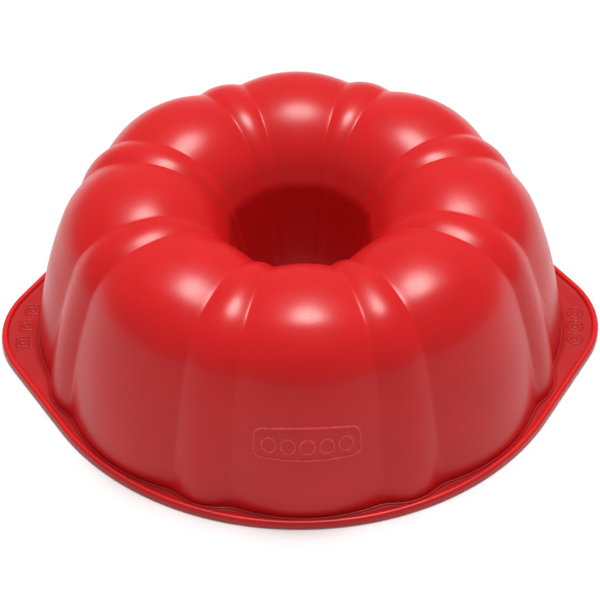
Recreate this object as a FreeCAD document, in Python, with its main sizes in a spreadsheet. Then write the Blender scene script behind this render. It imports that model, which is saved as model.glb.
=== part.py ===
import FreeCAD, Part
import math
import os

import Sketcher
from FreeCAD import Placement, Rotation, Vector

# A silicone bundt mould, standing upside down on its rim: Z is the mould's axis, pointing from the
# rim to the crown, z = 0 is the plane that the rim rests on, and X runs through the two grip tabs.
# The mould is one silicone moulding with a closed steel wire ring inside its rim bead.
# Lengths are in millimetres and angles in degrees.
DIMENSIONS = {
    # rim: a flat flange with a raised bead round its edge, drawn out into a grip tab at each side
    "rim_radius": 120.0,
    "tab_reach": 133.0,
    "tab_tip_radius": 44.0,
    "flange_thickness": 1.8,
    "bead_width": 2.8,
    "bead_height": 3.4,
    "bead_edge_radius": 1.3,
    "base_edge_radius": 0.7,
    "wire_diameter": 1.6,
    "wire_height": 1.7,
    "wire_inset": 1.4,
    # fluted ring: large and small lobes in turn, meeting at creases that lie in meridian planes
    "wall_thickness": 2.0,
    "lobe_pairs": 8,
    "large_lobe_half_angle": 16.3,
    # crease profile, in the meridian plane: arcs from the foot over the crest, a straight funnel,
    # an arc at the throat and the cone of the centre tube
    "crest_radius": 65.4,
    "crest_height": 79.2,
    "crown_arc_radius": 49.0,
    "crown_arc_turn": 17.5,
    "shoulder_arc_radius": 29.2,
    "wall_arc_radius": 211.0,
    "wall_top_lean": 21.6,
    "lip_arc_radius": 35.3,
    "funnel_slope": 57.0,
    "throat_radius": 32.2,
    "throat_arc_radius": 9.0,
    # how far the middle of a lobe stands out from the line between its two creases; the hold,
    # throat and flare shares are fractions of the crease profile's length, measured from its foot
    "large_bulge": 3.8,
    "small_bulge": 1.9,
    "small_foot_flare": 1.6,
    "bulge_hold_share": 0.43,
    "throat_share": 0.75,
    "throat_bulge_share": 0.25,
    "flare_fade_share": 0.19,
    # end of the centre tube: a short cylinder, which ends above the rim plane
    "tube_radius": 21.5,
    "tube_tip_length": 8.0,
    "tube_end_height": 4.0,
}

PROFILE_POINTS = 33
TOP_ANGLE = 90.0
CUT_OVERRUN = 3.0
FLAT = 1e-6


def add_sheet(doc):
    sheet = doc.addObject("Spreadsheet::Sheet", "dimensions")
    for row, (name, value) in enumerate(DIMENSIONS.items(), start=1):
        sheet.set(f"A{row}", name)
        sheet.set(f"B{row}", str(value))
        sheet.setAlias(f"B{row}", name)
    doc.recompute()
    return sheet


def on_arc(centre, radius, angle):
    """A point of an arc in the XZ plane, at an angle in degrees up from the X axis."""
    turn = math.radians(angle)
    return centre + Vector(radius * math.cos(turn), 0, radius * math.sin(turn))


def arc_edge(centre, radius, first, last):
    middle = (first + last) / 2
    ends = [on_arc(centre, radius, angle) for angle in (first, middle, last)]
    return Part.Arc(*ends).toShape()


def crest_point(sheet):
    return Vector(sheet.crest_radius, 0, sheet.crest_height)


def wall_edges(sheet, inset, foot_height):
    """The crease line from the foot up the wall to the crest, set in by inset."""
    crown_end = TOP_ANGLE - sheet.crown_arc_turn
    crown_centre = crest_point(sheet) - Vector(0, 0, sheet.crown_arc_radius)
    crown_to_shoulder = sheet.crown_arc_radius - sheet.shoulder_arc_radius
    shoulder_centre = on_arc(crown_centre, crown_to_shoulder, crown_end)
    shoulder_to_wall = sheet.shoulder_arc_radius - sheet.wall_arc_radius
    wall_centre = on_arc(shoulder_centre, shoulder_to_wall, sheet.wall_top_lean)
    wall_radius = sheet.wall_arc_radius - inset
    shoulder_radius = sheet.shoulder_arc_radius - inset
    foot_angle = math.degrees(math.asin((foot_height - wall_centre.z) / wall_radius))
    return [
        arc_edge(wall_centre, wall_radius, foot_angle, sheet.wall_top_lean),
        arc_edge(shoulder_centre, shoulder_radius, sheet.wall_top_lean, crown_end),
        arc_edge(crown_centre, sheet.crown_arc_radius - inset, crown_end, TOP_ANGLE),
    ]


def funnel_edges(sheet, inset):
    """The crease line from the crest down the funnel to the tube's tip, set in by inset."""
    lip_centre = crest_point(sheet) - Vector(0, 0, sheet.lip_arc_radius)
    lip_radius = sheet.lip_arc_radius - inset
    funnel_angle = TOP_ANGLE + sheet.funnel_slope
    lip_end = on_arc(lip_centre, lip_radius, funnel_angle)
    slope = math.radians(sheet.funnel_slope)
    funnel_run = lip_end.x - sheet.throat_radius - inset * math.sin(slope)
    throat = lip_end - Vector(funnel_run, 0, funnel_run * math.tan(slope))
    throat_radius = sheet.throat_arc_radius - inset
    throat_centre = throat - on_arc(Vector(), throat_radius, funnel_angle)
    tip = Vector(sheet.tube_radius + inset, 0, sheet.tube_end_height + sheet.tube_tip_length)
    to_tip = tip - throat_centre
    tip_direction = math.degrees(math.atan2(to_tip.z, to_tip.x)) % 360
    cone_angle = tip_direction - math.degrees(math.acos(throat_radius / to_tip.Length))
    return [
        arc_edge(lip_centre, lip_radius, TOP_ANGLE, funnel_angle),
        Part.makeLine(lip_end, throat),
        arc_edge(throat_centre, throat_radius, funnel_angle, cone_angle),
        Part.makeLine(on_arc(throat_centre, throat_radius, cone_angle), tip),
    ]


def crease_points(sheet, inset, foot_height):
    """Evenly spaced points of the crease line, from the foot over the crest to the tube's tip."""
    profile = Part.Wire(wall_edges(sheet, inset, foot_height) + funnel_edges(sheet, inset))
    points = profile.discretize(Number=PROFILE_POINTS)
    if points[0].x < points[-1].x:
        points.reverse()
    return points


def bulge_fade(sheet, along):
    """How much of a lobe's bulge is left at a share of the way along the crease line."""
    if along >= sheet.throat_share:
        return sheet.throat_bulge_share * (1 - along) / (1 - sheet.throat_share)
    past_hold = (along - sheet.bulge_hold_share) / (sheet.throat_share - sheet.bulge_hold_share)
    return 1 - (1 - sheet.throat_bulge_share) * max(0.0, past_hold)


def ridge_points(sheet, creases, bulge, foot_flare):
    """The middle line of a lobe: the crease line pushed out, level with it at the foot."""
    last = len(creases) - 1
    ridge = []
    for index, point in enumerate(creases):
        along = index / last
        ahead = creases[min(index + 1, last)]
        behind = creases[max(index - 1, 0)]
        tangent = (ahead - behind).normalize()
        foot_share = math.exp(-((along / sheet.flare_fade_share) ** 2))
        outward = Vector(tangent.z, 0, -tangent.x * (1 - foot_share))
        stand = bulge * bulge_fade(sheet, along) + foot_flare * foot_share
        ridge.append(point + outward * stand)
    return ridge


def spline_through(points):
    last = len(points) - 1
    curve = Part.BSplineCurve()
    curve.interpolate(Points=points, Parameters=[index / last for index in range(last + 1)])
    return curve


def turned(vector, angle):
    return Rotation(Vector(0, 0, 1), angle).multVec(vector)


def lobe_face(creases, ridge, half_angle, middle_angle):
    """One lobe, as conic arcs that span from crease to crease and pass through the ridge."""
    weight = math.cos(math.radians(half_angle))
    crease_curve = spline_through(creases)
    ridge_curve = spline_through(ridge)
    rows = []
    for crease, top in zip(crease_curve.getPoles(), ridge_curve.getPoles()):
        chord_middle = Vector(crease.x * weight, 0, crease.z)
        apex = (top * (1 + weight) - chord_middle) / weight
        row = [turned(crease, -half_angle), apex, turned(crease, half_angle)]
        rows.append([turned(pole, middle_angle) for pole in row])
    surface = Part.BSplineSurface()
    surface.buildFromPolesMultsKnots(
        poles=rows,
        umults=crease_curve.getMultiplicities(),
        vmults=(3, 3),
        uknots=crease_curve.getKnots(),
        vknots=(0.0, 1.0),
        udegree=crease_curve.Degree,
        vdegree=2,
        weights=[[1.0, weight, 1.0]] * len(rows),
    )
    return surface.toShape()


def lobes(sheet):
    """Middle angle, half angle, bulge and foot flare of each lobe round the ring."""
    pitch = 360.0 / sheet.lobe_pairs
    large_half = sheet.large_lobe_half_angle
    small_half = pitch / 2 - large_half
    for pair in range(sheet.lobe_pairs):
        yield pair * pitch, large_half, sheet.large_bulge, 0.0
        yield (pair + 0.5) * pitch, small_half, sheet.small_bulge, sheet.small_foot_flare


def fluted_solid(sheet, inset, foot_height, tube_end):
    """A closed fluted ring: the lobes, the turned end of the tube inside them and a flat foot."""
    creases = crease_points(sheet, inset, foot_height)
    faces = []
    for middle_angle, half_angle, bulge, foot_flare in lobes(sheet):
        ridge = ridge_points(sheet, creases, bulge, foot_flare)
        faces.append(lobe_face(creases, ridge, half_angle, middle_angle))
    end = Part.makePolygon([creases[-1]] + tube_end).revolve(Vector(), Vector(0, 0, 1), 360)
    skin = Part.makeShell(faces + end.Faces)
    skin.sewShape()
    foot_edges = [edge for edge in skin.Edges if edge.BoundBox.ZMax < foot_height + FLAT]
    foot_wires = [Part.Wire(edges) for edges in Part.sortEdges(foot_edges)]
    foot = Part.makeFace(foot_wires, "Part::FaceMakerBullseye")
    shell = Part.makeShell(skin.Faces + foot.Faces)
    shell.sewShape()
    return Part.Solid(shell)


def outer_form(sheet):
    """Everything inside the mould's outer skin, with the bore of its centre tube open."""
    return fluted_solid(sheet, 0.0, 0.0, [Vector(sheet.tube_radius, 0, 0)])


def cake_cavity(sheet):
    """The space that the batter fills, run on past the rim plane and under the tube's end."""
    outside_radius = sheet.tube_radius + sheet.wall_thickness
    tube_end = [
        Vector(outside_radius, 0, sheet.tube_end_height),
        Vector(0, 0, sheet.tube_end_height),
    ]
    return fluted_solid(sheet, sheet.wall_thickness, -CUT_OVERRUN, tube_end)


def origin_plane(body, role):
    return next(item for item in body.Origin.OriginFeatures if item.Role == role)


def add_rim_outline(sketch, sheet, inset_name=None):
    """Rim arcs front and back, a smaller arc at each tab's tip, and the tangents that join them."""
    inset = sheet.get(inset_name) if inset_name else 0.0
    rim_radius = sheet.rim_radius - inset
    tip_radius = sheet.tab_tip_radius - inset
    tip_centre = sheet.tab_reach - sheet.tab_tip_radius
    join_angle = math.acos((rim_radius - tip_radius) / tip_centre)
    centres = [tip_centre, 0.0, -tip_centre, 0.0]
    radii = [tip_radius, rim_radius, tip_radius, rim_radius]
    joins = [-join_angle, join_angle, math.pi - join_angle, math.pi + join_angle]
    upward = Vector(0, 0, 1)
    arcs = []
    for index in range(4):
        first = joins[index]
        last = joins[(index + 1) % 4]
        circle = Part.Circle(Vector(centres[index], 0, 0), upward, radii[index])
        arcs.append(sketch.addGeometry(Part.ArcOfCircle(circle, first, last)))
    for index in range(4):
        arc = arcs[index]
        next_arc = arcs[(index + 1) % 4]
        start = sketch.Geometry[arc].EndPoint
        end = sketch.Geometry[next_arc].StartPoint
        flank = sketch.addGeometry(Part.LineSegment(start, end))
        sketch.addConstraint(Sketcher.Constraint("Tangent", arc, 2, flank, 1))
        sketch.addConstraint(Sketcher.Constraint("Tangent", flank, 2, next_arc, 1))
    inset_term = f" - dimensions.{inset_name}" if inset_name else ""
    names = ["right_tip", "back_rim", "left_tip", "front_rim"]
    for index, name in enumerate(names):
        arc = arcs[index]
        size_name = "tab_tip_radius" if index % 2 == 0 else "rim_radius"
        sketch.addConstraint(Sketcher.Constraint("Radius", arc, radii[index]))
        sketch.renameConstraint(sketch.ConstraintCount - 1, f"{name}_radius")
        sketch.setExpression(f"Constraints.{name}_radius", f"dimensions.{size_name}{inset_term}")
        if index % 2 == 1:
            sketch.addConstraint(Sketcher.Constraint("Coincident", arc, 3, -1, 1))
            continue
        ends = (-1, 1, arc, 3) if index == 0 else (arc, 3, -1, 1)
        sketch.addConstraint(Sketcher.Constraint("PointOnObject", arc, 3, -1))
        sketch.addConstraint(Sketcher.Constraint("DistanceX", *ends, tip_centre))
        sketch.renameConstraint(sketch.ConstraintCount - 1, f"{name}_centre")
        sketch.setExpression(
            f"Constraints.{name}_centre", "dimensions.tab_reach - dimensions.tab_tip_radius"
        )


def add_sketch(body, name, role):
    sketch = body.newObject("Sketcher::SketchObject", name)
    sketch.AttachmentSupport = [(origin_plane(body, role), "")]
    sketch.MapMode = "FlatFace"
    return sketch


def round_edges_at(doc, body, feature, height, name):
    """Rounds every edge of the feature that lies level at a height."""
    numbers = [
        number
        for number, edge in enumerate(feature.Shape.Edges, start=1)
        if max(abs(edge.BoundBox.ZMin - height), abs(edge.BoundBox.ZMax - height)) < FLAT
    ]
    rounding = body.newObject("PartDesign::Fillet", f"{name}_rounding")
    rounding.Base = (feature, [f"Edge{number}" for number in numbers])
    rounding.setExpression("Radius", f"dimensions.{name}_edge_radius")
    doc.recompute()


def add_rim(doc, sheet):
    """The flange with its tabs and its raised bead, before the fluted ring is joined to it."""
    body = doc.addObject("PartDesign::Body", "rim")
    outline = add_sketch(body, "rim_outline", "XY_Plane")
    add_rim_outline(outline, sheet)
    doc.recompute()
    slab = body.newObject("PartDesign::Pad", "rim_slab")
    slab.Profile = outline
    slab.setExpression("Length", "dimensions.bead_height")
    doc.recompute()
    floor_outline = add_sketch(body, "flange_outline", "XY_Plane")
    floor_outline.AttachmentOffset = Placement(Vector(0, 0, sheet.bead_height), Rotation())
    floor_outline.setExpression("AttachmentOffset.Base.z", "dimensions.bead_height")
    add_rim_outline(floor_outline, sheet, "bead_width")
    doc.recompute()
    recess = body.newObject("PartDesign::Pocket", "flange_recess")
    recess.Profile = floor_outline
    recess.setExpression("Length", "dimensions.bead_height - dimensions.flange_thickness")
    doc.recompute()
    round_edges_at(doc, body, recess, sheet.bead_height, "bead")
    round_edges_at(doc, body, body.Tip, 0.0, "base")
    return body


def add_rim_wire(doc, sheet):
    """The steel ring: a round wire swept along the middle of the bead."""
    body = doc.addObject("PartDesign::Body", "rim_wire")
    path = add_sketch(body, "wire_path", "XY_Plane")
    path.setExpression("AttachmentOffset.Base.z", "dimensions.wire_height")
    add_rim_outline(path, sheet, "wire_inset")
    section = add_sketch(body, "wire_section", "YZ_Plane")
    axis_point = Vector(-(sheet.rim_radius - sheet.wire_inset), sheet.wire_height, 0)
    circle = Part.Circle(axis_point, Vector(0, 0, 1), sheet.wire_diameter / 2)
    round_edge = section.addGeometry(circle)
    section.addConstraint(Sketcher.Constraint("Diameter", round_edge, sheet.wire_diameter))
    section.renameConstraint(0, "wire_diameter")
    section.setExpression("Constraints.wire_diameter", "dimensions.wire_diameter")
    section.addConstraint(Sketcher.Constraint("DistanceX", round_edge, 3, -1, 1, -axis_point.x))
    section.renameConstraint(1, "wire_ring_radius")
    section.setExpression(
        "Constraints.wire_ring_radius", "dimensions.rim_radius - dimensions.wire_inset"
    )
    section.addConstraint(Sketcher.Constraint("DistanceY", -1, 1, round_edge, 3, axis_point.y))
    section.renameConstraint(2, "wire_height")
    section.setExpression("Constraints.wire_height", "dimensions.wire_height")
    doc.recompute()
    sweep = body.newObject("PartDesign::AdditivePipe", "wire_sweep")
    sweep.Profile = section
    sweep.Spine = (path, [f"Edge{number + 1}" for number in range(path.GeometryCount)])
    doc.recompute()
    return body


def add_solid(doc, name, shape):
    feature = doc.addObject("Part::Feature", name)
    feature.Shape = shape
    feature.Placement = Placement()
    return feature


def add_moulding(doc, sheet, rim, rim_wire):
    """The moulding: rim and fluted ring in one, hollowed out and moulded round the wire."""
    joined = doc.addObject("Part::MultiFuse", "joined_forms")
    joined.Shapes = [
        add_solid(doc, "fluted_form", outer_form(sheet)),
        rim,
    ]
    hollowed = doc.addObject("Part::Cut", "hollowed_form")
    hollowed.Base = joined
    hollowed.Tool = add_solid(doc, "cake_cavity", cake_cavity(sheet))
    moulding = doc.addObject("Part::Cut", "silicone_moulding")
    moulding.Base = hollowed
    moulding.Tool = rim_wire
    return moulding


def check(doc, parts):
    doc.recompute()
    for item in doc.Objects:
        if "Invalid" in item.State or "Error" in item.State:
            raise RuntimeError(f"{item.Label} failed to recompute")
    for part in parts:
        if part.Shape.isNull() or not part.Shape.isValid() or len(part.Shape.Solids) != 1:
            raise RuntimeError(f"{part.Label} is not one valid solid")


def main():
    doc = FreeCAD.newDocument("bundt_mould")
    sheet = add_sheet(doc)
    rim = add_rim(doc, sheet)
    rim_wire = add_rim_wire(doc, sheet)
    parts = [add_moulding(doc, sheet, rim, rim_wire), rim_wire]
    check(doc, parts)
    os.makedirs("parts", exist_ok=True)
    for part in parts:
        part.Shape.exportStep(f"parts/{part.Label}.step")
        volume = part.Shape.Volume / 1000
        print(f"{part.Label}: {volume:.1f} cm3, {len(part.Shape.Faces)} faces")


main()
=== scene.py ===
"""A red silicone bundt mould, standing upside down on its rim, in a plain bright studio."""
import math

import bpy
import numpy as np
from mathutils import Matrix, Vector


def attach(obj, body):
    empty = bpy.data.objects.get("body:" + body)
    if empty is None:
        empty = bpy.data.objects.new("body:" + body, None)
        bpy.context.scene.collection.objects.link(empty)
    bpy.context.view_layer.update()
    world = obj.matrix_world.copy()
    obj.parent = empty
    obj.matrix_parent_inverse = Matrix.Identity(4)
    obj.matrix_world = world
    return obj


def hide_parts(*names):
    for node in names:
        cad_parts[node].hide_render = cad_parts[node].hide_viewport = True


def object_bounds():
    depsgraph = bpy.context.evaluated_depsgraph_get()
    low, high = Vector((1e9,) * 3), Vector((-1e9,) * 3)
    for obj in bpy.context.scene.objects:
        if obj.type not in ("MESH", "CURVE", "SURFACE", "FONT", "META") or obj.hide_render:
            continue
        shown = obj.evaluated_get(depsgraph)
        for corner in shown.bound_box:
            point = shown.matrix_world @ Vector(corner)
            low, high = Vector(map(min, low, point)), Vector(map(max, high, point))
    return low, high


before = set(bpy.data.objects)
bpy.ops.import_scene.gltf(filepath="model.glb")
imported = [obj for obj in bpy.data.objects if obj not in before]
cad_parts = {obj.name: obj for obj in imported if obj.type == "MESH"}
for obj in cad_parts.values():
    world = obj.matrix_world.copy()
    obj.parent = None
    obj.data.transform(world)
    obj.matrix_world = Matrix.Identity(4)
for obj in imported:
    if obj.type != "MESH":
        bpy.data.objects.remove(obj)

CAD_LOW, CAD_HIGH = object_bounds()
MM = 0.001

# Sizes of the moulding, in metres, and angles, in degrees
TAB_REACH = CAD_HIGH[0]
RIM_RADIUS = CAD_HIGH[1]
TAB_TIP_RADIUS = 44.0 * MM
FLANGE_TOP = 1.8 * MM
BEAD_WIDTH = 2.8 * MM
BEAD_HEIGHT = 3.4 * MM
WALL_THICKNESS = 2.0 * MM
LOBE_PAIRS = 8
LARGE_HALF_ANGLE = 16.3
SMALL_HALF_ANGLE = 180 / LOBE_PAIRS - LARGE_HALF_ANGLE
CREST_RADIUS = 65.4 * MM
CREST_HEIGHT = 79.2 * MM
CROWN_ARC_RADIUS = 49.0 * MM
CROWN_ARC_TURN = 17.5
SHOULDER_ARC_RADIUS = 29.2 * MM
WALL_ARC_RADIUS = 211.0 * MM
WALL_TOP_LEAN = 21.6
LIP_ARC_RADIUS = 35.3 * MM
FUNNEL_SLOPE = 57.0
THROAT_RADIUS = 32.8 * MM
THROAT_ARC_RADIUS = 13.0 * MM
LARGE_BULGE = 3.8 * MM
SMALL_BULGE = 1.9 * MM
SMALL_FOOT_FLARE = 1.6 * MM
BULGE_HOLD_SHARE = 0.43
THROAT_SHARE = 0.75
THROAT_BULGE_SHARE = 0.45
FLARE_FADE_SHARE = 0.19
CREASE_SOFTNESS = 0.45
FOOT_SOFTNESS = 1.2
FOOT_SOFTNESS_SHARE = 0.045
FOOT_ROUNDING = 0.15 * MM
BROW_ROUNDING = 0.55 * MM
FOOT_LEDGE_HEIGHT = 0.6 * MM
FOOT_LEDGE_WIDTH = 0.1 * MM
FLANGE_ROUNDING = 0.3 * MM
TUBE_RADIUS = 21.5 * MM
TUBE_TIP_LENGTH = 8.0 * MM
TUBE_END_HEIGHT = 4.0 * MM
EDGE_ROUNDING = 0.7 * MM

# Painted shade: how much darker the silicone's colour is painted low round the flange, the bead's sides and
# the wall's foot, and inside the tube, and where that fades out
LOW_PAINTED_SHADE = 0.62
TUBE_SHADE = 0.78
TUBE_SHADE_RADIUS = 24.0 * MM
FUNNEL_SHADE_RADIUS = 42.0 * MM

# Columns round each lobe
LARGE_LOBE_COLUMNS = 26
SMALL_LOBE_COLUMNS = 16

# Rows of the skin along each part of the crease line, from the foot to the tube's tip
WALL_STEPS = 28
SHOULDER_STEPS = 24
CROWN_STEPS = 10
LIP_STEPS = 24
FUNNEL_STEPS = 4
THROAT_STEPS = 8
CONE_STEPS = 20

# Raised marks on the tabs and on the front lobe
MARK_HALF_WIDTH = 0.42 * MM
MARK_HEIGHT = 0.32 * MM
MARK_STEP = 0.02 * MM
MARK_SPACING = 0.6 * MM
RIGHT_TAB_RINGS = [(123.5 * MM, 3.9 * MM), (122.4 * MM, -4.7 * MM), (121.2 * MM, -13.2 * MM)]
LEFT_TAB_FRAMES = [(-120.6 * MM, 14.0 * MM), (-122.6 * MM, 3.5 * MM), (-123.4 * MM, -7.5 * MM)]
TAB_RING_RADIUS = 3.4 * MM
TAB_DOT_RADIUS = 1.4 * MM
TAB_FRAME_SIZE = (5.6 * MM, 6.6 * MM)
TAB_FRAME_CORNER = 1.2 * MM
PLATE_HEIGHT = 36.6 * MM
PLATE_SIZE = (47 * MM, 11.8 * MM)
PLATE_RISE = 2.3 * MM
PLATE_CORNER = 3.0 * MM
PLATE_PITCH = 8.4 * MM
PLATE_RING_RADIUS = 3.1 * MM


# ---------------------------------------------------------------- plane curves


def on_arc(centre, radius, angle):
    """The points at the given angles of a circle."""
    turn = np.radians(angle)
    return np.stack([centre[0] + radius * np.cos(turn), centre[1] + radius * np.sin(turn)], -1)


def arc(centre, radius, first, last, count):
    """Points of an arc from angle first up to, but not at, angle last."""
    return on_arc(centre, radius, np.linspace(first, last, count, endpoint=False))


def line(start, end, count):
    """Points of a line from start up to, but not at, end."""
    share = np.linspace(0, 1, count, endpoint=False)[:, None]
    return np.asarray(start) * (1 - share) + np.asarray(end) * share


def crease_path(inset, foot_height):
    """The crease line in the meridian plane, from the foot to the tube's tip, as (radius, height)."""
    crest = np.array([CREST_RADIUS, CREST_HEIGHT])
    crown_end = 90 - CROWN_ARC_TURN
    crown_centre = crest - [0, CROWN_ARC_RADIUS]
    shoulder_centre = on_arc(crown_centre, CROWN_ARC_RADIUS - SHOULDER_ARC_RADIUS, crown_end)
    wall_centre = on_arc(shoulder_centre, SHOULDER_ARC_RADIUS - WALL_ARC_RADIUS, WALL_TOP_LEAN)
    wall_radius = WALL_ARC_RADIUS - inset
    foot_angle = math.degrees(math.asin((foot_height - wall_centre[1]) / wall_radius))
    lip_centre = crest - [0, LIP_ARC_RADIUS]
    lip_radius = LIP_ARC_RADIUS - inset
    lip_end_angle = 90 + FUNNEL_SLOPE
    lip_end = on_arc(lip_centre, lip_radius, lip_end_angle)
    funnel_run = lip_end[0] - THROAT_RADIUS - inset * math.sin(math.radians(FUNNEL_SLOPE))
    throat = lip_end - [funnel_run, funnel_run * math.tan(math.radians(FUNNEL_SLOPE))]
    throat_radius = THROAT_ARC_RADIUS - inset
    throat_centre = throat - on_arc([0, 0], throat_radius, lip_end_angle)
    tip = np.array([TUBE_RADIUS + inset, TUBE_END_HEIGHT + TUBE_TIP_LENGTH])
    across, down = tip - throat_centre
    tip_direction = math.degrees(math.atan2(down, across)) % 360
    cone_angle = tip_direction - math.degrees(math.acos(throat_radius / math.hypot(across, down)))
    return np.concatenate(
        [
            arc(wall_centre, wall_radius, foot_angle, WALL_TOP_LEAN, WALL_STEPS),
            arc(shoulder_centre, SHOULDER_ARC_RADIUS - inset, WALL_TOP_LEAN, crown_end, SHOULDER_STEPS),
            arc(crown_centre, CROWN_ARC_RADIUS - inset, crown_end, 90, CROWN_STEPS),
            arc(lip_centre, lip_radius, 90, lip_end_angle, LIP_STEPS),
            line(lip_end, throat, FUNNEL_STEPS),
            arc(throat_centre, throat_radius, lip_end_angle, cone_angle, THROAT_STEPS),
            line(on_arc(throat_centre, throat_radius, cone_angle), tip, CONE_STEPS),
            [tip],
        ]
    )


# ---------------------------------------------------------------- lobes


def lobes():
    """Middle angle, half angle, bulge and foot flare of each lobe round the ring."""
    pitch = 360 / LOBE_PAIRS
    for pair in range(LOBE_PAIRS):
        yield pair * pitch, LARGE_HALF_ANGLE, LARGE_BULGE, 0.0
        yield (pair + 0.5) * pitch, SMALL_HALF_ANGLE, SMALL_BULGE, SMALL_FOOT_FLARE


def column_angles():
    """Angles round the ring, closer together towards the creases."""
    angles = []
    for middle, half, *_ in lobes():
        count = LARGE_LOBE_COLUMNS if half > SMALL_HALF_ANGLE else SMALL_LOBE_COLUMNS
        spread = np.sin(np.radians(np.linspace(-90, 90, count, endpoint=False)))
        angles.append(middle + half * spread)
    return np.concatenate(angles)


def bulge_at(angles, along):
    """How far the skin stands out from the crease line: columns by rows."""
    softness = CREASE_SOFTNESS + FOOT_SOFTNESS * np.exp(-along / FOOT_SOFTNESS_SHARE)
    foot_share = np.exp(-((along / FLARE_FADE_SHARE) ** 2))
    past_hold = np.clip((along - BULGE_HOLD_SHARE) / (THROAT_SHARE - BULGE_HOLD_SHARE), 0, 1)
    past_throat = np.clip((along - THROAT_SHARE) / (1 - THROAT_SHARE), 0, 1)
    fade = 1 - (1 - THROAT_BULGE_SHARE) * past_hold
    fade = fade * (1 - past_throat)
    total = np.zeros((len(angles), len(along)))
    for middle, half, bulge, foot_flare in lobes():
        offset = (angles - middle + 180) % 360 - 180
        inside = (1 - (offset / half) ** 2)[:, None]
        blend = 2 * softness / half
        across = (inside + np.sqrt(inside**2 + blend**2)) / 2
        near = np.abs(offset)[:, None] < half + SMALL_HALF_ANGLE
        total += np.where(near, across * (bulge * fade + foot_flare * foot_share), 0)
    return total


def spin(radius_height, angles):
    """Columns by rows of (radius, height), turned round the axis. Angle 0 is the front, -Y."""
    turn = np.radians(angles)[:, None]
    radius = radius_height[..., 0]
    height = radius_height[..., 1]
    return np.stack(np.broadcast_arrays(radius * np.sin(turn), -radius * np.cos(turn), height), -1)


def fluted_skin(inset, foot_height, angles):
    """The lobed skin from the foot to the tube's tip, as (radius, height): columns by rows."""
    path = crease_path(inset, foot_height)
    steps = np.hypot(*np.diff(path, axis=0).T)
    along = np.concatenate([[0], np.cumsum(steps)]) / steps.sum()
    tangent = np.gradient(path, axis=0)
    tangent /= np.linalg.norm(tangent, axis=1)[:, None]
    foot_share = np.exp(-((along / FLARE_FADE_SHARE) ** 2))
    outward = np.stack([tangent[:, 1], -tangent[:, 0] * (1 - foot_share)], -1)
    stand = bulge_at(angles, along)
    return path[None] + outward[None] * stand[..., None]


# ---------------------------------------------------------------- rim outline


def rim_outline(angles):
    """Points of the rim's edge at each angle from the front, and the outward normals there."""
    turn = np.radians(angles)
    direction = np.stack([np.sin(turn), -np.cos(turn)], -1)
    across = np.abs(direction[:, 0])
    back = np.abs(direction[:, 1])
    tip_centre = TAB_REACH - TAB_TIP_RADIUS
    join = math.acos((RIM_RADIUS - TAB_TIP_RADIUS) / tip_centre)
    flank_normal = np.array([math.cos(join), math.sin(join)])
    tip_end = np.array([tip_centre, 0]) + TAB_TIP_RADIUS * flank_normal
    from_side = np.arctan2(back, across)
    on_tip = from_side < math.atan2(tip_end[1], tip_end[0])
    on_rim = from_side > join
    half_chord = np.sqrt(np.maximum(TAB_TIP_RADIUS**2 - (tip_centre * back) ** 2, 0))
    tip_reach = tip_centre * across + half_chord
    flank_reach = RIM_RADIUS / np.cos(from_side - join)
    reach = np.where(on_tip, tip_reach, np.where(on_rim, RIM_RADIUS, flank_reach))
    point = np.stack([across, back], -1) * reach[:, None]
    tip_normal = (point - [tip_centre, 0]) / TAB_TIP_RADIUS
    normal = np.where(on_tip[:, None], tip_normal, flank_normal)
    normal = np.where(on_rim[:, None], point / RIM_RADIUS, normal)
    sign = np.sign(direction) + (direction == 0)
    return point * sign, normal * sign


def outline_rows(angles, depth_height):
    """Rows at given depths inside the rim's edge and given heights: columns by rows."""
    point, normal = rim_outline(angles)
    depth = depth_height[:, 0][None, :, None]
    plan = point[:, None] - normal[:, None] * depth
    height = np.broadcast_to(depth_height[:, 1], plan.shape[:2])
    return np.concatenate([plan, height[..., None]], -1)


# ---------------------------------------------------------------- the moulding


def tube_end_rows():
    """From the cone down the bore of the tube's tip, round its end and up its cake side."""
    half = WALL_THICKNESS / 2
    tip_top = TUBE_END_HEIGHT + TUBE_TIP_LENGTH
    end_centre = np.array([TUBE_RADIUS + half, TUBE_END_HEIGHT + half])
    bore = line([TUBE_RADIUS, tip_top], end_centre - [half, 0], 4)
    end = arc(end_centre, half, 180, 360, 10)
    cake_side = line(end_centre + [half, 0], [TUBE_RADIUS + WALL_THICKNESS, tip_top], 4)
    return np.concatenate([bore[1:], end, cake_side])


def foot_rows(wall_foot):
    """The low ledge round the wall's foot, from the wall out to the flange, as (radius, height)."""
    ledge_top = FLANGE_TOP + FOOT_LEDGE_HEIGHT
    hollow = on_arc([FOOT_ROUNDING, ledge_top + FOOT_ROUNDING], FOOT_ROUNDING, np.array([200, 235, 270]))
    brow_centre = [FOOT_ROUNDING + FOOT_LEDGE_WIDTH, ledge_top - BROW_ROUNDING]
    brow = on_arc(brow_centre, BROW_ROUNDING, np.array([90, 65, 40, 15]))
    ledge_foot = [[brow_centre[0] + BROW_ROUNDING, FLANGE_TOP]]
    return np.concatenate([hollow, brow, ledge_foot])[None] + wall_foot[:, None] * [1, 0]


def bead_rows(angles):
    """From the flange up over the bead, down the rim's edge and in under it."""
    half = BEAD_WIDTH / 2
    side_top = BEAD_HEIGHT - half
    inner_foot = [BEAD_WIDTH + FLANGE_ROUNDING, FLANGE_TOP + FLANGE_ROUNDING]
    fillet = on_arc(inner_foot, FLANGE_ROUNDING, np.linspace(270, 180, 4))
    crown = on_arc([half, side_top], half, np.linspace(0, 180, 13))
    edge = on_arc([EDGE_ROUNDING, EDGE_ROUNDING], EDGE_ROUNDING, np.linspace(180, 270, 5))
    return outline_rows(angles, np.concatenate([fillet, crown, edge]))


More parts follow.
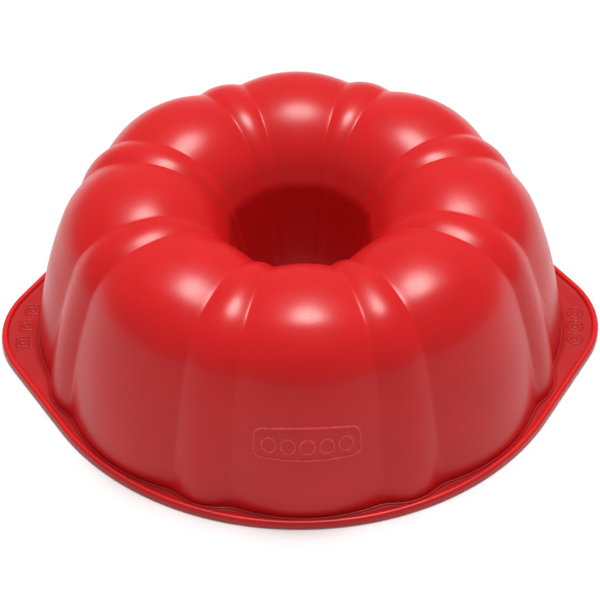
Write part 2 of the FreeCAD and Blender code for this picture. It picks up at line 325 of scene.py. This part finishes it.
def between(first, last, count):
    """Rows evenly spaced between two rows, without either of them."""
    share = np.linspace(0, 1, count + 2)[1:-1, None]
    return first[:, None] * (1 - share) + last[:, None] * share


def moulding_points():
    """Every point of the moulding: columns round the ring, rows round its closed section."""
    angles = column_angles()
    wall_foot = FLANGE_TOP + FOOT_LEDGE_HEIGHT + FOOT_ROUNDING
    outer = fluted_skin(0.0, wall_foot, angles)
    inner = fluted_skin(WALL_THICKNESS, EDGE_ROUNDING, angles)
    foot_edge = on_arc([EDGE_ROUNDING, 0], EDGE_ROUNDING, np.linspace(202.5, 270, 4))
    foot_edge = foot_edge[None] + inner[:, :1]
    underside_start = spin(foot_edge, angles)[:, -1]
    bead = bead_rows(angles)
    foot = spin(foot_rows(outer[:, 0]), angles)
    tube_end = tube_end_rows()[None]
    return np.concatenate(
        [
            spin(outer, angles),
            spin(tube_end, angles),
            spin(inner[:, ::-1], angles),
            spin(foot_edge, angles),
            between(underside_start, bead[:, -1], 4),
            bead[:, ::-1],
            between(bead[:, 0], foot[:, -1], 3),
            foot[:, ::-1],
        ],
        axis=1,
    )


def grid_piece(name, *grids):
    """A piece made of closed skins, each from columns by rows of points, joined up both ways."""
    points = []
    faces = []
    for grid in grids:
        columns, rows = grid.shape[:2]
        number = np.arange(columns * rows).reshape(columns, rows) + len(points)
        right = np.roll(number, -1, 0)
        corners = [number, right, np.roll(right, -1, 1), np.roll(number, -1, 1)]
        points.extend(grid.reshape(-1, 3).tolist())
        faces.extend(np.stack(corners, -1).reshape(-1, 4).tolist())
    mesh = bpy.data.meshes.new(name)
    mesh.from_pydata(points, [], faces)
    mesh.shade_smooth()
    piece = bpy.data.objects.new(name, mesh)
    bpy.context.scene.collection.objects.link(piece)
    return piece


# ---------------------------------------------------------------- raised marks


def on_flange(spots):
    """Points of the flange's top from (x, y) spots."""
    return np.column_stack([spots, np.full(len(spots), FLANGE_TOP)])


def on_front_wall(spots):
    """Points of the front lobe's wall from (across, height) spots."""
    angles = np.degrees(spots[:, 0] / RIM_RADIUS)
    columns = fluted_skin(0.0, FLANGE_TOP + FOOT_ROUNDING, angles)[:, : WALL_STEPS + SHOULDER_STEPS]
    radius = [np.interp(height, column[:, 1], column[:, 0]) for height, column in zip(spots[:, 1], columns)]
    return spin(np.column_stack([radius, spots[:, 1]])[:, None], angles)[:, 0]


def raised_line(loop, surface):
    """A thin raised line along a closed loop of spots of a surface, as columns by rows of points."""
    centre = surface(loop)
    across = surface(loop + [MARK_STEP, 0]) - surface(loop - [MARK_STEP, 0])
    upward = surface(loop + [0, MARK_STEP]) - surface(loop - [0, MARK_STEP])
    normal = np.cross(across, upward)
    normal /= np.linalg.norm(normal, axis=1)[:, None]
    forward = np.roll(centre, -1, 0) - np.roll(centre, 1, 0)
    side = np.cross(forward, normal)
    side /= np.linalg.norm(side, axis=1)[:, None]
    turn = np.linspace(0, 2 * math.pi, 8, endpoint=False)[:, None]
    section = side[:, None] * np.cos(turn) * MARK_HALF_WIDTH + normal[:, None] * np.sin(turn) * MARK_HEIGHT
    return centre[:, None] + section


def ring_loop(centre, radius):
    """A circle round a centre, as a closed loop."""
    return on_arc(centre, radius, np.linspace(0, 360, 32, endpoint=False))


def rounded_loop(centre, size, corner_radius):
    """A rectangle with rounded corners round a centre, as a closed loop."""
    half = np.array(size) / 2 - corner_radius
    corners = []
    for quarter, (across, up) in enumerate([(1, 1), (-1, 1), (-1, -1), (1, -1)]):
        corner = centre + half * [across, up]
        corners.append(on_arc(corner, corner_radius, np.linspace(0, 90, 9) + 90 * quarter))
    ends = np.concatenate(corners)
    sides = []
    for start, end in zip(ends, np.roll(ends, -1, 0)):
        steps = math.ceil(np.linalg.norm(end - start) / MARK_SPACING)
        sides.append(start + (end - start) * np.arange(steps)[:, None] / steps)
    return np.concatenate(sides)


def add_marks():
    """Plain raised marks where such a mould has moulded signs: on both tabs and low on the front."""
    right_tab = []
    for x, y in RIGHT_TAB_RINGS:
        right_tab.append(raised_line(ring_loop([x, y], TAB_RING_RADIUS), on_flange))
        right_tab.append(raised_line(ring_loop([x, y], TAB_DOT_RADIUS), on_flange))
    left_tab = []
    for x, y in LEFT_TAB_FRAMES:
        left_tab.append(raised_line(rounded_loop([x, y], TAB_FRAME_SIZE, TAB_FRAME_CORNER), on_flange))
        left_tab.append(raised_line(ring_loop([x, y], TAB_DOT_RADIUS), on_flange))
    plate = rounded_loop([0, PLATE_HEIGHT], PLATE_SIZE, PLATE_CORNER)
    arch = PLATE_RISE * (1 - (2 * plate[:, 0] / PLATE_SIZE[0]) ** 2)
    plate[:, 1] += np.where(plate[:, 1] > PLATE_HEIGHT, arch, 0)
    front = [raised_line(plate, on_front_wall)]
    for place in (-2, -1, 0, 1, 2):
        centre = [place * PLATE_PITCH, PLATE_HEIGHT]
        front.append(raised_line(ring_loop(centre, PLATE_RING_RADIUS), on_front_wall))
    tab_pieces = [grid_piece("right_tab_marks", *right_tab), grid_piece("left_tab_marks", *left_tab)]
    return tab_pieces, grid_piece("front_marks", *front)


# ---------------------------------------------------------------- studio


def add_floor():
    """A wide pale floor that the mould stands on."""
    mesh = bpy.data.meshes.new("floor")
    size = 3.0
    corners = [(-size, -size, 0), (size, -size, 0), (size, size, 0), (-size, size, 0)]
    mesh.from_pydata(corners, [], [(0, 1, 2, 3)])
    floor = bpy.data.objects.new("floor", mesh)
    bpy.context.scene.collection.objects.link(floor)
    floor.data.materials.append(floor_material())


def floor_material():
    material, _, shader = material_nodes("floor")
    shader.inputs["Base Color"].default_value = (0.9, 0.9, 0.9, 1)
    shader.inputs["Roughness"].default_value = 0.9
    return material


def add_lamp(name, direction, angle, strength):
    """A far soft lamp: the direction points from the mould to it."""
    data = bpy.data.lights.new(name, "SUN")
    data.angle = math.radians(angle)
    data.energy = strength
    light = bpy.data.objects.new(name, data)
    light.rotation_mode = "QUATERNION"
    light.rotation_quaternion = Vector(direction).to_track_quat("Z", "Y")
    bpy.context.scene.collection.objects.link(light)


def add_world():
    """A faint even white light from all round."""
    world = bpy.data.worlds.new("studio")
    world.use_nodes = True
    background = world.node_tree.nodes["Background"]
    background.inputs["Color"].default_value = (1, 1, 1, 1)
    background.inputs["Strength"].default_value = 0.25
    bpy.context.scene.world = world


def add_camera():
    """Looks down at the front of the mould, a little to its left, from the other side of a table."""
    azimuth = math.radians(-1.207)
    elevation = math.radians(41.505)
    roll = math.radians(-0.446)
    distance = 6.990 * RIM_RADIUS
    target = Vector((-0.0012 * RIM_RADIUS, 0, 0.1373 * RIM_RADIUS))
    level = math.cos(elevation)
    back = Vector((math.sin(azimuth) * level, -math.cos(azimuth) * level, math.sin(elevation)))
    right = Vector((math.cos(azimuth), math.sin(azimuth), 0))
    up = back.cross(right)
    turned_right = right * math.cos(roll) + up * math.sin(roll)
    turned_up = up * math.cos(roll) - right * math.sin(roll)
    data = bpy.data.cameras.new("camera")
    data.sensor_width = 36.0
    data.lens = 113.88
    camera = bpy.data.objects.new("camera", data)
    pose = Matrix((turned_right, turned_up, back)).transposed().to_4x4()
    pose.translation = target + back * distance
    camera.matrix_world = pose
    bpy.context.scene.collection.objects.link(camera)
    bpy.context.scene.camera = camera


# ---------------------------------------------------------------- materials


def material_nodes(name):
    """A new material, its node tree and its shader."""
    material = bpy.data.materials.new(name)
    material.use_nodes = True
    tree = material.node_tree
    return material, tree, tree.nodes["Principled BSDF"]


def noise(tree, vector, scale, detail):
    """A cloudy value from 0 to 1 over the surface."""
    node = tree.nodes.new("ShaderNodeTexNoise")
    node.inputs["Scale"].default_value = scale
    node.inputs["Detail"].default_value = detail
    tree.links.new(vector, node.inputs["Vector"])
    return node.outputs["Fac"]


def mapped(tree, value, low, high, low_result, high_result):
    """The value, carried over from one range to another."""
    node = tree.nodes.new("ShaderNodeMapRange")
    node.inputs["From Min"].default_value = low
    node.inputs["From Max"].default_value = high
    node.inputs["To Min"].default_value = low_result
    node.inputs["To Max"].default_value = high_result
    tree.links.new(value, node.inputs["Value"])
    return node.outputs["Result"]


def combined(tree, operation, first, second):
    """Two values put together by a sum, a product or the like."""
    node = tree.nodes.new("ShaderNodeMath")
    node.operation = operation
    tree.links.new(first, node.inputs[0])
    tree.links.new(second, node.inputs[1])
    return node.outputs["Value"]


def tinted(tree, value, dark, light):
    """A colour between dark and light, by the value."""
    node = tree.nodes.new("ShaderNodeMix")
    node.data_type = "RGBA"
    node.inputs["A"].default_value = dark
    node.inputs["B"].default_value = light
    tree.links.new(value, node.inputs["Factor"])
    return node.outputs["Result"]


def bump(tree, height, strength, distance):
    """A surface direction that follows a height value."""
    node = tree.nodes.new("ShaderNodeBump")
    node.inputs["Strength"].default_value = strength
    node.inputs["Distance"].default_value = distance
    tree.links.new(height, node.inputs["Height"])
    return node.outputs["Normal"]


def distance_from_axis(tree, split):
    """The distance of a point from the mould's axis, from its split coordinates."""
    across = combined(tree, "MULTIPLY", split.outputs["X"], split.outputs["X"])
    along = combined(tree, "MULTIPLY", split.outputs["Y"], split.outputs["Y"])
    node = tree.nodes.new("ShaderNodeMath")
    node.operation = "SQRT"
    tree.links.new(combined(tree, "ADD", across, along), node.inputs[0])
    return node.outputs["Value"]


def silicone_material():
    """Satin red silicone, faintly clouded, with a moulded grain; painted shade darkens it low round the
    flange, the bead's sides and the wall's foot, and inside the tube.
    """
    material, tree, shader = material_nodes("silicone")
    place = tree.nodes.new("ShaderNodeTexCoord").outputs["Object"]
    split = tree.nodes.new("ShaderNodeSeparateXYZ")
    tree.links.new(place, split.inputs["Vector"])
    # Painted shade: the colour is darkened from 1.2 mm up to the bead's top, over the flange, the bead's
    # sides and the wall's foot
    above = mapped(tree, split.outputs["Z"], FLANGE_TOP + MARK_HEIGHT, BEAD_HEIGHT, LOW_PAINTED_SHADE, 1.0)
    below = mapped(tree, split.outputs["Z"], 1.2 * MM, 1.7 * MM, 1.0, LOW_PAINTED_SHADE)
    flange_painted_shade = combined(tree, "MAXIMUM", above, below)
    cloud = mapped(tree, noise(tree, place, 45, 4), 0.3, 0.7, 0.9, 1.0)
    from_axis = distance_from_axis(tree, split)
    # Painted shade inside the tube: the colour gets darker towards the axis, below the funnel
    depth = mapped(tree, from_axis, TUBE_SHADE_RADIUS, FUNNEL_SHADE_RADIUS, TUBE_SHADE, 1.0)
    shade = combined(tree, "MULTIPLY", combined(tree, "MULTIPLY", flange_painted_shade, cloud), depth)
    colour = tinted(tree, shade, (0.05, 0.006, 0.005, 1), (0.74, 0.012, 0.014, 1))
    tree.links.new(colour, shader.inputs["Base Color"])
    smudge = mapped(tree, noise(tree, place, 70, 5), 0.3, 0.7, 0.27, 0.34)
    tree.links.new(smudge, shader.inputs["Roughness"])
    grain = bump(tree, noise(tree, place, 800, 1), 0.25, 0.05 * MM)
    tree.links.new(grain, shader.inputs["Normal"])
    shader.inputs["IOR"].default_value = 1.41
    shader.inputs["Specular IOR Level"].default_value = 0.4
    shader.inputs["Coat Weight"].default_value = 0.12
    shader.inputs["Coat Roughness"].default_value = 0.5
    shader.inputs["Coat IOR"].default_value = 1.4
    return material


def matt_silicone_material():
    """The same red silicone with a frosted surface, which looks paler."""
    material, tree, shader = material_nodes("matt_silicone")
    place = tree.nodes.new("ShaderNodeTexCoord").outputs["Object"]
    frost = mapped(tree, noise(tree, place, 900, 4), 0.3, 0.7, 0.0, 1.0)
    colour = tinted(tree, frost, (0.72, 0.035, 0.04, 1), (0.85, 0.09, 0.1, 1))
    tree.links.new(colour, shader.inputs["Base Color"])
    tree.links.new(bump(tree, frost, 0.3, 0.04 * MM), shader.inputs["Normal"])
    shader.inputs["Roughness"].default_value = 0.6
    shader.inputs["IOR"].default_value = 1.41
    return material


def wire_material():
    """Drawn steel wire: bright, with fine streaks and a faint tarnish."""
    material, tree, shader = material_nodes("steel_wire")
    place = tree.nodes.new("ShaderNodeTexCoord").outputs["Object"]
    tarnish = mapped(tree, noise(tree, place, 60, 4), 0.3, 0.7, 0.0, 1.0)
    colour = tinted(tree, tarnish, (0.42, 0.41, 0.4, 1), (0.63, 0.63, 0.65, 1))
    tree.links.new(colour, shader.inputs["Base Color"])
    streaks = mapped(tree, noise(tree, place, 900, 6), 0.3, 0.7, 0.25, 0.45)
    tree.links.new(streaks, shader.inputs["Roughness"])
    tree.links.new(bump(tree, noise(tree, place, 2200, 3), 0.3, 0.02 * MM), shader.inputs["Normal"])
    shader.inputs["Metallic"].default_value = 1.0
    return material


def finish(piece, material):
    """A silicone piece is ready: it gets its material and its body."""
    piece.data.materials.append(material)
    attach(piece, "root")


bpy.context.scene.view_settings.view_transform = "Standard"
add_floor()
add_world()
add_lamp("overhead_lamp", (0.05, 0.245, 0.96), 21, 2.95)
add_camera()

silicone = silicone_material()
moulding = grid_piece("silicone_mould", moulding_points())
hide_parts("silicone_moulding")
tab_marks, front_marks = add_marks()
for piece in [moulding, *tab_marks]:
    finish(piece, silicone)
finish(front_marks, matt_silicone_material())

wire_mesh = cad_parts["rim_wire"].data
wire_mesh.materials.clear()
wire_mesh.materials.append(wire_material())
